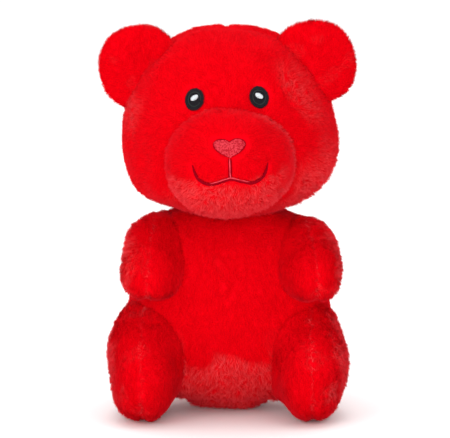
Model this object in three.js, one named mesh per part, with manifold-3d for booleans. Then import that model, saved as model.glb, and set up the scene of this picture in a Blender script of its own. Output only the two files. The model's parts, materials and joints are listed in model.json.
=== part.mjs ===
// A seated teddy bear, sewn from short-pile plush over fibre filling, with an embroidered face.
// Millimetres, +Z up. The bear faces -Y, so its own left side is +X.
import * as THREE from 'three';
import { mergeVertices } from 'three/addons/utils/BufferGeometryUtils.js';
import Module from 'manifold-3d';

const wasm = await Module();
wasm.setup();

// Cloth, filling and thread
const PLUSH_THICKNESS = 2.6;
const SEAM_GAP = 0.4;
const FILLING_GAP = 1.2;
const THREAD_HEIGHT = 1.0;
const THREAD_GAP = 0.4;
// Room between the root of an ear, arm or leg and what it is sewn to, wherever it is bent to
const FLEX_GAP = 2.6;

// Joints: where each limb bends, about which axis, and how far. A positive angle lifts the head,
// an arm or a leg, and folds an ear forward.
const NECK_CENTRE = new THREE.Vector3(2, -2, 130.5);
const HEAD_TILT = THREE.MathUtils.degToRad(-2);
const SHOULDERS_CENTRE = new THREE.Vector3(2, 0, 110);
const SHOULDERS_TILT = THREE.MathUtils.degToRad(1.5);
const SHOULDER = new THREE.Vector3(44, -20, 0);
const HIPS_CENTRE = new THREE.Vector3(-1.5, 0, 40);
const HIP = new THREE.Vector3(51, -14, 0);
const EAR_ROOT = new THREE.Vector3(50, -10, 89);
const LIFT_AXIS = new THREE.Vector3(-1, 0, 0);
const EAR_FOLD_SLOPE = THREE.MathUtils.degToRad(126);
const ARM_STOPS = [-12, 0, 15, 30];
const LEG_STOPS = [0, 8, 15];
const EAR_STOPS = [-15, 0, 15];

// Round forms: half sizes about a centre. `square` is 2 for an ellipsoid and more for a fuller form,
// `taper` widens the top end and narrows the bottom end by that share.
const TORSO = {
  centre: [0, 0, 66], side: 65, front: 52, back: 50, up: 76, down: 69, square: 2.2, around: 26, rings: 13,
};
const PELLET_BAG = {
  centre: [0, 0, 14], side: 42, front: 33, back: 33, up: 20, down: 14, square: 2.2, around: 18, rings: 8,
};
const HEAD = {
  centre: [-0.8, -1, 45.5], side: 71.5, front: 56, back: 56, up: 77, down: 56, square: 2.15,
  around: 26, rings: 14,
};
const MUZZLE = {
  centre: [-0.8, -48, 39], side: 43, front: 38, back: 20, up: 36, down: 36, square: 2.1,
  around: 22, rings: 10,
};
const AT_ORIGIN = [0, 0, 0];
const NECK = {
  centre: AT_ORIGIN, side: 26, front: 26, back: 26, up: 26, down: 26, square: 2, around: 18, rings: 9,
};
const EAR = {
  centre: AT_ORIGIN, side: 29.5, front: 11, back: 10, up: 29.5, down: 29.5, square: 2.3, around: 18, rings: 9,
};
const ARM = {
  centre: AT_ORIGIN, side: 20, front: 20.5, back: 20.5, up: 42, down: 40, square: 2.3, around: 16, rings: 9,
};
const LEG = {
  centre: AT_ORIGIN, side: 24, front: 35, back: 35, up: 44, down: 44, square: 2.3, taper: 0.1,
  around: 16, rings: 9,
};

// Where the limb forms lie. The long axis runs from the root (top of the form) to the tip.
const ARM_MIDDLE = new THREE.Vector3(51, -33, -7.5);
const ARM_TIP_DIRECTION = new THREE.Vector3(0.1, -1, -0.4);
const LEG_MIDDLE = new THREE.Vector3(54, -40, -6);
const LEG_TIP_DIRECTION = new THREE.Vector3(0.02, -1, -0.28);
const EAR_MIDDLE = new THREE.Vector3(56, -10, 95.5);

// Seams and openings
const BASE_SEAM_HEIGHT = 7;
const TORSO_SIDE_SEAM = 4;
const TORSO_TOP = 127;
const HEAD_SIDE_SEAM = -9;
const HEAD_BOTTOM = 3.5;
const NECK_OPENING_RADIUS = 28.5;

// Embroidery on the head, from the middle of the neck
const EYE = { across: 20.5, height: 78.8, halfWidth: 6.2, halfHeight: 7.2, lean: 0.45 };
const HIGHLIGHT = { halfWidth: 3.1, halfHeight: 2, shift: 0.8 };
const NOSE = { height: 44.6, width: 20.5, tall: 13 };
const MOUTH = {
  middle: 32.2, dipAcross: 13, dip: 29.4, turnAcross: 20.5, turn: 33.2, endAcross: 23.5, end: 41,
  lineWidth: 1.8,
};
const LABEL = { thickness: 0.8, reach: 8, height: 15, bottom: 14 };

const WIDE = 400;
const SIDES = { left: 1, right: -1 };

const plush = { color: 0xd8040f, roughness: 0.92, metalness: 0 };
const filling = { color: 0xf1efe8, roughness: 0.95, metalness: 0 };
const blackThread = { color: 0x17161a, roughness: 0.5, metalness: 0 };
const whiteThread = { color: 0xe9eaec, roughness: 0.5, metalness: 0 };
const noseThread = { color: 0xd93448, roughness: 0.5, metalness: 0 };
const mouthThread = { color: 0x8c0712, roughness: 0.5, metalness: 0 };
const labelRibbon = { color: 0xf4f2ee, roughness: 0.6, metalness: 0 };
const bagCloth = { color: 0xdad7cf, roughness: 0.9, metalness: 0 };

// Turns a closed geometry into a solid that can be cut and joined.
function solid(geometry) {
  const bare = geometry.clone();
  bare.deleteAttribute('normal');
  bare.deleteAttribute('uv');
  const merged = mergeVertices(bare, 1e-4);
  const mesh = new wasm.Mesh({
    numProp: 3,
    vertProperties: new Float32Array(merged.attributes.position.array),
    triVerts: new Uint32Array(merged.index.array),
  });
  return new wasm.Manifold(mesh);
}

// Adds a solid, made in the bear's frame, to a group as a named mesh.
function addMesh(group, name, body, look) {
  const { vertProperties, triVerts, numProp } = body.getMesh();
  const geometry = new THREE.BufferGeometry();
  const positions = new Float32Array((vertProperties.length / numProp) * 3);
  for (let i = 0; i < positions.length; i++) {
    positions[i] = vertProperties[Math.floor(i / 3) * numProp + (i % 3)];
  }
  geometry.setAttribute('position', new THREE.BufferAttribute(positions, 3));
  geometry.setIndex(new THREE.BufferAttribute(new Uint32Array(triVerts), 1));
  group.updateWorldMatrix(true, false);
  geometry.applyMatrix4(group.matrixWorld.clone().invert());
  geometry.computeVertexNormals();
  const mesh = new THREE.Mesh(geometry, new THREE.MeshStandardMaterial(look));
  mesh.name = name;
  group.add(mesh);
}

// A round form, grown outwards by `grow`, placed by a matrix.
function roundForm(form, place, grow = 0) {
  const { centre, side, front, back, up, down, square, taper = 0, around, rings } = form;
  const geometry = new THREE.SphereGeometry(1, around, rings);
  geometry.rotateX(Math.PI / 2);
  const position = geometry.attributes.position;
  const point = new THREE.Vector3();
  const half = new THREE.Vector3();
  for (let i = 0; i < position.count; i++) {
    point.fromBufferAttribute(position, i);
    half.set(side, point.y < 0 ? front : back, point.z > 0 ? up : down).addScalar(grow);
    const share = point.clone().divide(half);
    const power = Math.abs(share.x) ** square + Math.abs(share.y) ** square + Math.abs(share.z) ** square;
    point.multiplyScalar(power ** (-1 / square));
    const widening = 1 + (taper * point.z) / half.z;
    point.x *= widening;
    point.y *= widening;
    position.setXYZ(i, point.x, point.y, point.z);
  }
  geometry.translate(...centre);
  return solid(geometry.applyMatrix4(place));
}

// The block of space between two planes across one axis.
function slab(axis, from, to, place = new THREE.Matrix4()) {
  const size = new THREE.Vector3(WIDE, WIDE, WIDE);
  const middle = new THREE.Vector3();
  size[axis] = to - from;
  middle[axis] = (from + to) / 2;
  const box = new THREE.BoxGeometry(size.x, size.y, size.z);
  box.translate(middle.x, middle.y, middle.z);
  return solid(box.applyMatrix4(place));
}

// The two sides of a seam plane, with the seam's gap between them.
function seamSides(axis, at, place) {
  return [
    slab(axis, -WIDE, at - SEAM_GAP / 2, place),
    slab(axis, at + SEAM_GAP / 2, WIDE, place),
  ];
}

// The space that an obstacle takes as seen from a limb, at each of the limb's stops.
function sweptSpace(obstacle, pivot, axis, stops) {
  const turned = stops.map((degrees) => {
    const turn = new THREE.Matrix4()
      .makeTranslation(pivot)
      .multiply(new THREE.Matrix4().makeRotationAxis(axis, THREE.MathUtils.degToRad(-degrees)))
      .multiply(new THREE.Matrix4().makeTranslation(pivot.clone().negate()));
    return obstacle.transform(turn.elements);
  });
  return turned.reduce((all, one) => all.add(one));
}

// A limb form's placing: its top end is the root and its bottom end points along `tip`.
function limbPlace(middle, tip) {
  const upAxis = tip.clone().normalize().negate();
  const sideAxis = new THREE.Vector3(1, 0, 0).addScaledVector(upAxis, -upAxis.x).normalize();
  const depthAxis = new THREE.Vector3().crossVectors(upAxis, sideAxis);
  return new THREE.Matrix4().makeBasis(sideAxis, depthAxis, upAxis).setPosition(middle);
}

function onSide(vector, sign) {
  return new THREE.Vector3(vector.x * sign, vector.y, vector.z);
}

// Cloth over filling: the two panels lie on either side of the seam plane across `axis`.
function addSewnForm(group, names, form, place, axis, seamAt, cuts) {
  const outside = roundForm(form, place);
  const inside = roundForm(form, place, -PLUSH_THICKNESS);
  const fill = roundForm(form, place, -PLUSH_THICKNESS - FILLING_GAP);
  const trim = (body) => cuts.reduce((rest, cut) => rest.subtract(cut), body);
  const cloth = trim(outside.subtract(inside));
  const sides = seamSides(axis, seamAt, place);
  addMesh(group, names.low, cloth.intersect(sides[0]), plush);
  addMesh(group, names.high, cloth.intersect(sides[1]), plush);
  addMesh(group, names.filling, trim(fill), filling);
}

const bear = new THREE.Group();
const still = new THREE.Matrix4();
const torsoSpace = roundForm({ ...TORSO, around: 20, rings: 10 }, still, FLEX_GAP);
const underFloor = slab('z', -WIDE, 0);

// The neck's filling, and the head, tilt together about the middle of the neck.
const neck = new THREE.Group();
neck.position.copy(NECK_CENTRE);
neck.rotation.y = HEAD_TILT;
bear.add(neck);
const head = new THREE.Group();
neck.add(head);
head.updateWorldMatrix(true, false);
const headPlace = head.matrixWorld.clone();
const headSpace = roundForm({ ...HEAD, around: 20, rings: 11 }, headPlace, FLEX_GAP);

const neckBall = roundForm(NECK, headPlace);
const neckRoom = roundForm(NECK, headPlace, SEAM_GAP * 1.5);
const openingCylinder = new THREE.CylinderGeometry(NECK_OPENING_RADIUS, NECK_OPENING_RADIUS, 60, 24);
const neckOpening = solid(openingCylinder.rotateX(Math.PI / 2).applyMatrix4(headPlace));
addMesh(neck, 'neck_stuffing', neckBall, filling);

// Torso: a belly panel, two back panels, a flat base panel, filling and a bag of pellets.
{
  const outside = roundForm(TORSO, still).subtract(underFloor);
  const inside = roundForm(TORSO, still, -PLUSH_THICKNESS).subtract(slab('z', -WIDE, PLUSH_THICKNESS));
  const cloth = outside.subtract(inside).subtract(neckOpening).intersect(slab('z', -WIDE, TORSO_TOP));
  const [base, wall] = seamSides('z', BASE_SEAM_HEIGHT);
  const [front, rear] = seamSides('y', TORSO_SIDE_SEAM);
  const [rightHalf, leftHalf] = seamSides('x', 0);
  addMesh(bear, 'base_panel', cloth.intersect(base), plush);
  addMesh(bear, 'belly_panel', cloth.intersect(wall).intersect(front), plush);
  addMesh(bear, 'back_panel_right', cloth.intersect(wall).intersect(rear).intersect(rightHalf), plush);
  addMesh(bear, 'back_panel_left', cloth.intersect(wall).intersect(rear).intersect(leftHalf), plush);

  const floorOfFilling = PLUSH_THICKNESS + FILLING_GAP;
  const room = roundForm({ ...TORSO, around: 20, rings: 10 }, still, -floorOfFilling)
    .intersect(slab('z', floorOfFilling, TORSO_TOP));
  const bag = roundForm(PELLET_BAG, still);
  const bagRoom = roundForm(PELLET_BAG, still, SEAM_GAP * 2);
  addMesh(bear, 'torso_stuffing', room.subtract(neckRoom).subtract(bagRoom), filling);
  addMesh(bear, 'pellet_bag', room.intersect(bag), bagCloth);

  const ribbon = new THREE.BoxGeometry(LABEL.thickness, WIDE, LABEL.height);
  ribbon.translate(0, WIDE / 2, LABEL.bottom + LABEL.height / 2);
  const outsideTorso = roundForm(TORSO, still, SEAM_GAP);
  const reachOfLabel = roundForm(TORSO, still, LABEL.reach);
  addMesh(bear, 'sewn_in_label', solid(ribbon).subtract(outsideTorso).intersect(reachOfLabel), labelRibbon);
}

// Head: a face panel with the muzzle set into it, two back panels and filling that runs into the muzzle.
{
  const outside = roundForm(HEAD, headPlace);
  const inside = roundForm(HEAD, headPlace, -PLUSH_THICKNESS);
  const muzzleOutside = roundForm(MUZZLE, headPlace);
  const muzzleInside = roundForm(MUZZLE, headPlace, -PLUSH_THICKNESS);
  const aboveNeck = slab('z', HEAD_BOTTOM, WIDE, headPlace);
  const [front, rear] = seamSides('y', HEAD_SIDE_SEAM, headPlace);
  const [rightHalf, leftHalf] = seamSides('x', 0, headPlace);
  const cloth = outside.subtract(inside).subtract(neckOpening).intersect(aboveNeck);
  const muzzleHole = roundForm(MUZZLE, headPlace, SEAM_GAP);
  addMesh(head, 'face_panel', cloth.intersect(front).subtract(muzzleHole), plush);
  addMesh(head, 'muzzle_panel', muzzleOutside.subtract(muzzleInside).subtract(inside), plush);
  addMesh(head, 'head_back_right', cloth.intersect(rear).intersect(rightHalf), plush);
  addMesh(head, 'head_back_left', cloth.intersect(rear).intersect(leftHalf), plush);

  const shrink = -PLUSH_THICKNESS - FILLING_GAP;
  const fill = roundForm({ ...HEAD, around: 20, rings: 11 }, headPlace, shrink)
    .add(roundForm(MUZZLE, headPlace, shrink))
    .intersect(aboveNeck)
    .subtract(neckRoom);
  addMesh(head, 'head_stuffing', fill, filling);
}

// Embroidery: a patch of thread of the given outline, standing just off the cloth of a form.
function threadPatch(outlines, form, lift) {
  const outer = roundForm(form, headPlace, lift + THREAD_HEIGHT);
  const inner = roundForm(form, headPlace, lift);
  const skin = outer.subtract(inner);
  const prisms = outlines.map((outline) => {
    const depth = WIDE / 2;
    const prism = new THREE.ExtrudeGeometry(outline, { depth, bevelEnabled: false, curveSegments: 8 });
    return solid(prism.rotateX(Math.PI / 2).applyMatrix4(headPlace));
  });
  const frontHalf = slab('y', -WIDE, form.centre[1], headPlace);
  return skin.intersect(frontHalf).intersect(prisms.reduce((all, one) => all.add(one)));
}

function ovalOutline(across, height, halfWidth, halfHeight, lean) {
  return new THREE.Shape().absellipse(across, height, halfWidth, halfHeight, 0, 2 * Math.PI, false, lean);
}

function heartOutline({ height, width, tall }) {
  const half = width / 2;
  const top = height + tall;
  const outline = new THREE.Shape();
  outline.moveTo(0, height);
  outline.bezierCurveTo(half * 0.5, height + tall * 0.2, half, height + tall * 0.45, half, top - tall * 0.28);
  outline.bezierCurveTo(half, top, half * 0.25, top + tall * 0.08, 0, top - tall * 0.2);
  outline.bezierCurveTo(-half * 0.25, top + tall * 0.08, -half, top, -half, top - tall * 0.28);
  outline.bezierCurveTo(-half, height + tall * 0.45, -half * 0.5, height + tall * 0.2, 0, height);
  return outline;
}

// The outline of a stitched line of even width along a curve in the XY plane.
function lineOutline(curve, width, steps) {
  const edge = (offset) => (step) => {
    const place = curve.getPointAt(step / steps);
    const along = curve.getTangentAt(step / steps);
    return new THREE.Vector2(place.x - along.y * offset, place.y + along.x * offset);
  };
  const stepsList = Array.from({ length: steps + 1 }, (_, step) => step);
  const near = stepsList.map(edge(-width / 2));
  const far = stepsList.map(edge(width / 2)).reverse();
  return new THREE.Shape([...near, ...far]);
}

for (const [side, sign] of Object.entries(SIDES)) {
  const across = HEAD.centre[0] + sign * EYE.across;
  const eye = ovalOutline(across, EYE.height, EYE.halfWidth, EYE.halfHeight, sign * EYE.lean);
  const { halfWidth, halfHeight, shift } = HIGHLIGHT;
  const shine = ovalOutline(across, EYE.height + shift, halfWidth, halfHeight, -sign * EYE.lean);
  addMesh(head, `eye_${side}_black`, threadPatch([eye], HEAD, THREAD_GAP), blackThread);
  addMesh(head, `eye_${side}_white`, threadPatch([shine], HEAD, 2 * THREAD_GAP + THREAD_HEIGHT), whiteThread);
}

addMesh(head, 'nose_embroidery', threadPatch([heartOutline(NOSE)], MUZZLE, THREAD_GAP), noseThread);

const halfSmile = [
  new THREE.Vector3(MOUTH.dipAcross, MOUTH.dip, 0),
  new THREE.Vector3(MOUTH.turnAcross, MOUTH.turn, 0),
  new THREE.Vector3(MOUTH.endAcross, MOUTH.end, 0),
];
const smile = new THREE.CatmullRomCurve3([
  ...halfSmile.map((place) => onSide(place, SIDES.right)).reverse(),
  new THREE.Vector3(0, MOUTH.middle, 0),
  ...halfSmile,
]);
const lip = new THREE.LineCurve3(
  new THREE.Vector3(0, NOSE.height - THREAD_GAP, 0),
  new THREE.Vector3(0, MOUTH.middle, 0),
);
const mouthLines = [lineOutline(smile, MOUTH.lineWidth, 24), lineOutline(lip, MOUTH.lineWidth, 1)];
addMesh(head, 'mouth_embroidery', threadPatch(mouthLines, MUZZLE, THREAD_GAP), mouthThread);

// The shoulders lean a little the other way from the head, and the hips sit level.
const shoulders = new THREE.Group();
shoulders.position.copy(SHOULDERS_CENTRE);
shoulders.rotation.y = SHOULDERS_TILT;
const hips = new THREE.Group();
hips.position.copy(HIPS_CENTRE);
bear.add(shoulders, hips);

// An arm or a leg: an inner and an outer panel sewn down its middle, bending about `root`, which is
// sewn to the torso.
function addLimb(girdle, name, sign, form, root, middle, tip, stops) {
  const limb = new THREE.Group();
  limb.position.copy(onSide(root, sign));
  girdle.add(limb);
  limb.updateWorldMatrix(true, false);
  const place = girdle.matrixWorld.clone().multiply(limbPlace(onSide(middle, sign), onSide(tip, sign)));
  const pivot = new THREE.Vector3().setFromMatrixPosition(limb.matrixWorld);
  const sweptTorso = sweptSpace(torsoSpace, pivot, LIFT_AXIS, stops);
  const [low, high] = sign > 0 ? ['inner', 'outer'] : ['outer', 'inner'];
  const names = { low: `${name}_${low}`, high: `${name}_${high}`, filling: `${name}_stuffing` };
  addSewnForm(limb, names, form, place, 'x', 0, [sweptTorso, underFloor]);
}

for (const [side, sign] of Object.entries(SIDES)) {
  // Ear: two discs of cloth with a little filling, folding about a line along the side of the head.
  const ear = new THREE.Group();
  ear.position.copy(onSide(EAR_ROOT, sign));
  head.add(ear);
  ear.updateWorldMatrix(true, false);
  const earPlace = headPlace.clone().multiply(new THREE.Matrix4().makeTranslation(onSide(EAR_MIDDLE, sign)));
  const earFold = new THREE.Vector3(-Math.cos(EAR_FOLD_SLOPE), 0, -sign * Math.sin(EAR_FOLD_SLOPE));
  const foldAxis = earFold.transformDirection(headPlace);
  const earPivot = new THREE.Vector3().setFromMatrixPosition(ear.matrixWorld);
  const earCut = sweptSpace(headSpace, earPivot, foldAxis, EAR_STOPS);
  const earNames = { low: `ear_${side}_front`, high: `ear_${side}_back`, filling: `ear_${side}_stuffing` };
  addSewnForm(ear, earNames, EAR, earPlace, 'y', 0, [earCut]);

  addLimb(shoulders, `arm_${side}`, sign, ARM, SHOULDER, ARM_MIDDLE, ARM_TIP_DIRECTION, ARM_STOPS);
  addLimb(hips, `leg_${side}`, sign, LEG, HIP, LEG_MIDDLE, LEG_TIP_DIRECTION, LEG_STOPS);
}

// The origin is on the floor, under the middle of the bear.
const extent = new THREE.Box3().setFromObject(bear);
const middle = extent.getCenter(new THREE.Vector3());
bear.position.set(-middle.x, -middle.y, 0);

export default bear;
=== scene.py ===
"""A seated red teddy bear in short-pile plush, with an embroidered face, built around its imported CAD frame.

Metres, +Z up. The bear faces -Y, so its own left side is +X. Each stuffed part is a round form that is made
uneven, pulled in along its seams, cut into its sewn panels and given cloth with a real pile. All of that is done
in code: the cloth simulation in here moves no point by more than 0.03 mm.
"""

import copy
import json
import math

import bmesh
import bpy
import numpy as np
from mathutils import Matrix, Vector
from mathutils.bvhtree import BVHTree


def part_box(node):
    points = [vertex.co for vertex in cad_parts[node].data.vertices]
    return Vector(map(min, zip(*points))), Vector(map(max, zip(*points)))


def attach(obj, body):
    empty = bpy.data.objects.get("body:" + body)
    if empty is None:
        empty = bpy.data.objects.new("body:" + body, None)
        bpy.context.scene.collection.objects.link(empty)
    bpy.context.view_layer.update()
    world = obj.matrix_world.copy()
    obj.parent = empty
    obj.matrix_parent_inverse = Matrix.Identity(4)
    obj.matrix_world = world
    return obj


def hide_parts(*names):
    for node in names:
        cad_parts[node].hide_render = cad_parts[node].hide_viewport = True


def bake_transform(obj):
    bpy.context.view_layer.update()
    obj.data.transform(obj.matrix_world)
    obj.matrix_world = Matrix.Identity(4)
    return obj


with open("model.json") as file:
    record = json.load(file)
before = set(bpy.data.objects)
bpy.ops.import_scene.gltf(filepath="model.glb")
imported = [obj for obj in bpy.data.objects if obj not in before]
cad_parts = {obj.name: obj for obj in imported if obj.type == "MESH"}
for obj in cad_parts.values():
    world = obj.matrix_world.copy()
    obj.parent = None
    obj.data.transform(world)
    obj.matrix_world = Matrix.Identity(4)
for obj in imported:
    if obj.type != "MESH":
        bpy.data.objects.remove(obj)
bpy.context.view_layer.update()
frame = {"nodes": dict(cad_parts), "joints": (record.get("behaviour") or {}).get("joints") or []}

MM = 0.001

# Pile and cloth
PILE_LENGTH = 3.6 * MM
PILE_WIDTH = 0.55 * MM
PILE_DENSITY = 1.8e6
PILE_ROOT_DEPTH = 0.4 * MM
CLUMP_LENGTH = 4.2 * MM
SMOOTH_LEAN = math.radians(72)
RUFFLED_LEAN = math.radians(50)
CLOTH_INSET = 2.1 * MM
CLOTH_THICKNESS = 1.2 * MM
FLOOR_CLEARANCE = 0.15 * MM
OVERLAP = 8 * MM
NECK_OVERLAP = 15 * MM
NECK_HIDDEN = 10 * MM

# Seams: how far the thread pulls the cloth in, and how wide the valley is
SEAM_DEPTH = 1.5 * MM
LIMB_SEAM_DEPTH = 0.7 * MM
BASE_SEAM_DEPTH = 1.5 * MM
SEAM_WIDTH = 2.4 * MM
STITCH_DEPTH = 1.4 * MM
SHORT_PILE_WIDTH = 4 * MM
HIDDEN_DEPTH = 3 * MM
FLAT_BASE = 0.6 * MM
RISE = 4.2 * MM
RISE_WIDTH = 10 * MM

# Half sizes of the stuffed forms in mm, as they are cut and sewn
TORSO = dict(side=65, front=52, back=50, up=76, down=68, square=2.2)
TORSO_MIDDLE_HEIGHT = 66 * MM
HEAD = dict(side=71.5, front=56, back=56, up=77, down=56, square=2.15)
MUZZLE = dict(side=43, front=38, back=20, up=36, down=36, square=2.1)
MUZZLE_DROP = 6.5 * MM
MUZZLE_FORWARD = 47 * MM
EAR = dict(side=29.5, front=11, back=10, up=29.5, down=29.5, square=2.3)
ARM = dict(side=20.5, front=20.5, back=20.5, up=39, down=40, square=2.3)
ARM_MIDDLE = (7, -13, -7.5)
ARM_TIP = (0.1, -1, -0.4)
LEG = dict(side=24, front=35, back=35, up=44, down=44, square=2.3, taper=0.1)
LEG_MIDDLE = (3, -26, -6)
LEG_TIP = (0.02, -1, -0.28)
NECK_RADIUS = 26

# Where a limb's seam ends in a notch: shares of its depth and its length, from its middle
ARM_NOTCH = (0.0, 1.0)
LEG_NOTCH = (0.5, 0.9)

SIDES = {"left": 1, "right": -1}

joints = {joint["name"]: joint for joint in frame["joints"]}


def unit(vectors):
    return vectors / np.maximum(np.linalg.norm(vectors, axis=-1, keepdims=True), 1e-12)


def smoothstep(low, high, values):
    share = np.clip((values - low) / (high - low), 0, 1)
    return share * share * (3 - 2 * share)


def hump(*shares):
    """One where all the shares are zero, falling smoothly to nothing as any of them passes one."""
    power = -(shares[0] ** 2)
    for share in shares[1:]:
        power = power - share**2
    return np.exp(power)


def waves(points, length, seed, count=18):
    """Smooth noise of about unit size whose bumps are `length` apart. Its seed fixes it."""
    draw = np.random.default_rng(seed)
    directions = unit(draw.normal(size=(count, 3)))
    turns = 2 * np.pi / (length * draw.uniform(0.7, 1.5, count))
    phases = draw.uniform(0, 2 * np.pi, count)
    return np.sin(points @ (directions * turns[:, None]).T + phases).sum(1) * math.sqrt(2 / count)


def wave_vectors(points, length, seed):
    return np.stack([waves(points, length, seed + part) for part in range(3)], 1)


# ------------ round forms


def joint_place(name):
    return np.array(joints[name]["pos_m"], float)


def node_middle(node):
    low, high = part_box(node)
    return np.array((low + high) / 2)


class Form:
    """A stuffed form. Its axes are rows: side, depth (front to back) and long (tip or bottom to top)."""

    def __init__(self, centre, axes, shape, grow=0.0):
        self.centre = np.array(centre, float)
        self.axes = np.array(axes, float)
        self.square = shape["square"]
        self.taper = shape.get("taper", 0.0)
        self.low = np.array([shape["side"], shape["front"], shape["down"]]) * MM + grow
        self.high = np.array([shape["side"], shape["back"], shape["up"]]) * MM + grow

    def local(self, points):
        return (points - self.centre) @ self.axes.T

    def world(self, local):
        return self.centre + local @ self.axes

    def surface(self, directions):
        """Where the form's surface lies along unit directions from its centre, in its own axes."""
        half = np.where(directions < 0, self.low, self.high)
        reach = (np.abs(directions / half) ** self.square).sum(1) ** (-1 / self.square)
        local = directions * reach[:, None]
        widening = 1 + self.taper * local[:, 2] / half[:, 2]
        local[:, :2] *= widening[:, None]
        return local

    def outside(self, points):
        """About how far points lie outside the surface, and below zero inside."""
        local = self.local(points)
        half = np.where(local < 0, self.low, self.high)
        widening = 1 + self.taper * np.clip(local[:, 2] / half[:, 2], -1, 1)
        local[:, :2] /= widening[:, None]
        share = (np.abs(local / half) ** self.square).sum(1) ** (1 / self.square)
        reach = np.linalg.norm(local, axis=1)
        return (share - 1) * reach / np.maximum(share, 1e-6)


def upright_axes(up, side):
    """Rows of side, depth and up, from the up axis and a rough side axis."""
    up = unit(np.array(up, float))
    side = unit(side - up * (up @ side))
    return np.stack([side, np.cross(up, side), up])


HEAD_AXES = upright_axes(joints["head_turn"]["axis"], -np.array(joints["head_nod"]["axis"]))
LEVEL_AXES = np.eye(3)
neck_place = joint_place("head_turn")

belly_low, belly_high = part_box("belly_panel")
torso_form = Form(
    ((belly_low.x + belly_high.x) / 2, belly_low.y + TORSO["front"] * MM, TORSO_MIDDLE_HEIGHT),
    LEVEL_AXES, TORSO, -CLOTH_INSET)


def head_point(side, depth, up):
    """A point given from the middle of the neck, along the head's own axes."""
    return neck_place + np.array([side, depth, up]) @ HEAD_AXES


def head_coordinates(points):
    return (points - neck_place) @ HEAD_AXES.T


def head_measure():
    """The head's middle, from its widest side points, its back and its crown."""
    panels = [node for node in frame["nodes"] if node.startswith("head_back") or node == "face_panel"]
    corners = []
    for node in panels:
        mesh = frame["nodes"][node].data
        points = np.zeros(len(mesh.vertices) * 3)
        mesh.vertices.foreach_get("co", points)
        corners.append(head_coordinates(points.reshape(-1, 3)))
    corners = np.concatenate(corners)
    low, high = corners.min(0), corners.max(0)
    return ((low[0] + high[0]) / 2, high[1] - HEAD["back"] * MM, high[2] - HEAD["up"] * MM)


head_middle = head_measure()
head_form = Form(head_point(*head_middle), HEAD_AXES, HEAD, -CLOTH_INSET)
muzzle_middle = (head_middle[0], head_middle[1] - MUZZLE_FORWARD, head_middle[2] - MUZZLE_DROP)
muzzle_form = Form(head_point(*muzzle_middle), HEAD_AXES, MUZZLE, -CLOTH_INSET)


def limb_form(root, middle, tip, shape, side):
    """A limb's form: its long axis runs from the tip up to the root."""
    mirror = np.array([side, 1, 1])
    up = -unit(np.array(tip, float) * mirror)
    axes = upright_axes(up, np.array([1.0, 0, 0]))
    return Form(root + np.array(middle) * MM * mirror, axes, shape, -CLOTH_INSET)


# ------------ meshes as arrays


def sphere(detail):
    """Unit directions and triangles of an evenly divided sphere."""
    ball = bmesh.new()
    bmesh.ops.create_icosphere(ball, subdivisions=detail, radius=1)
    points = np.array([v.co for v in ball.verts])
    triangles = np.array([[v.index for v in f.verts] for f in ball.faces])
    ball.free()
    return unit(points), triangles


def face_vectors(points, triangles):
    a, b, c = (points[triangles[:, i]] for i in range(3))
    return np.cross(b - a, c - a)


def vertex_normals(points, triangles):
    vectors = face_vectors(points, triangles)
    total = np.zeros_like(points)
    for corner in range(3):
        for part in range(3):
            total[:, part] += np.bincount(triangles[:, corner], vectors[:, part], len(points))
    return unit(total)


def clip(vertices, triangles, field):
    """The part of a mesh where the field is above zero, cut cleanly along its zero line."""
    inside = field > 0
    count = inside[triangles].sum(1)
    kept = triangles[count == 3]
    crossing = triangles[(count == 1) | (count == 2)]
    flags = inside[crossing]
    lone = flags.sum(1) == 1
    odd = np.where(lone[:, None], flags, ~flags).argmax(1)
    crossing = np.take_along_axis(crossing, (odd[:, None] + np.arange(3)) % 3, 1)
    a, b, c = crossing.T
    edges = np.sort(np.concatenate([np.stack([a, b], 1), np.stack([a, c], 1)]), axis=1)
    cuts, place = np.unique(edges, axis=0, return_inverse=True)
    place = place.ravel() + len(vertices)
    share = field[cuts[:, 0]] / (field[cuts[:, 0]] - field[cuts[:, 1]])
    added = vertices[cuts[:, 0]] * (1 - share)[:, None] + vertices[cuts[:, 1]] * share[:, None]
    ab, ac = place[: len(a)], place[len(a):]
    rest = ~lone
    triangles = np.concatenate([
        kept,
        np.stack([a, ab, ac], 1)[lone],
        np.stack([ab, b, c], 1)[rest],
        np.stack([ab, c, ac], 1)[rest],
    ])
    used, numbers = np.unique(triangles, return_inverse=True)
    return np.concatenate([vertices, added])[used], numbers.reshape(-1, 3)


def thicken(points, normals, triangles, thickness):
    """A closed shell of cloth behind an open surface."""
    count = len(points)
    edges = np.concatenate([triangles[:, [0, 1]], triangles[:, [1, 2]], triangles[:, [2, 0]]])
    alone = edges[~np.isin(edges[:, 0] * count + edges[:, 1], edges[:, 1] * count + edges[:, 0])]
    a, b = alone.T
    walls = np.concatenate([np.stack([b, a, a + count], 1), np.stack([b, a + count, b + count], 1)])
    shell = np.concatenate([points, points - normals * thickness])
    return shell, np.concatenate([triangles, triangles[:, ::-1] + count, walls])


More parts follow.
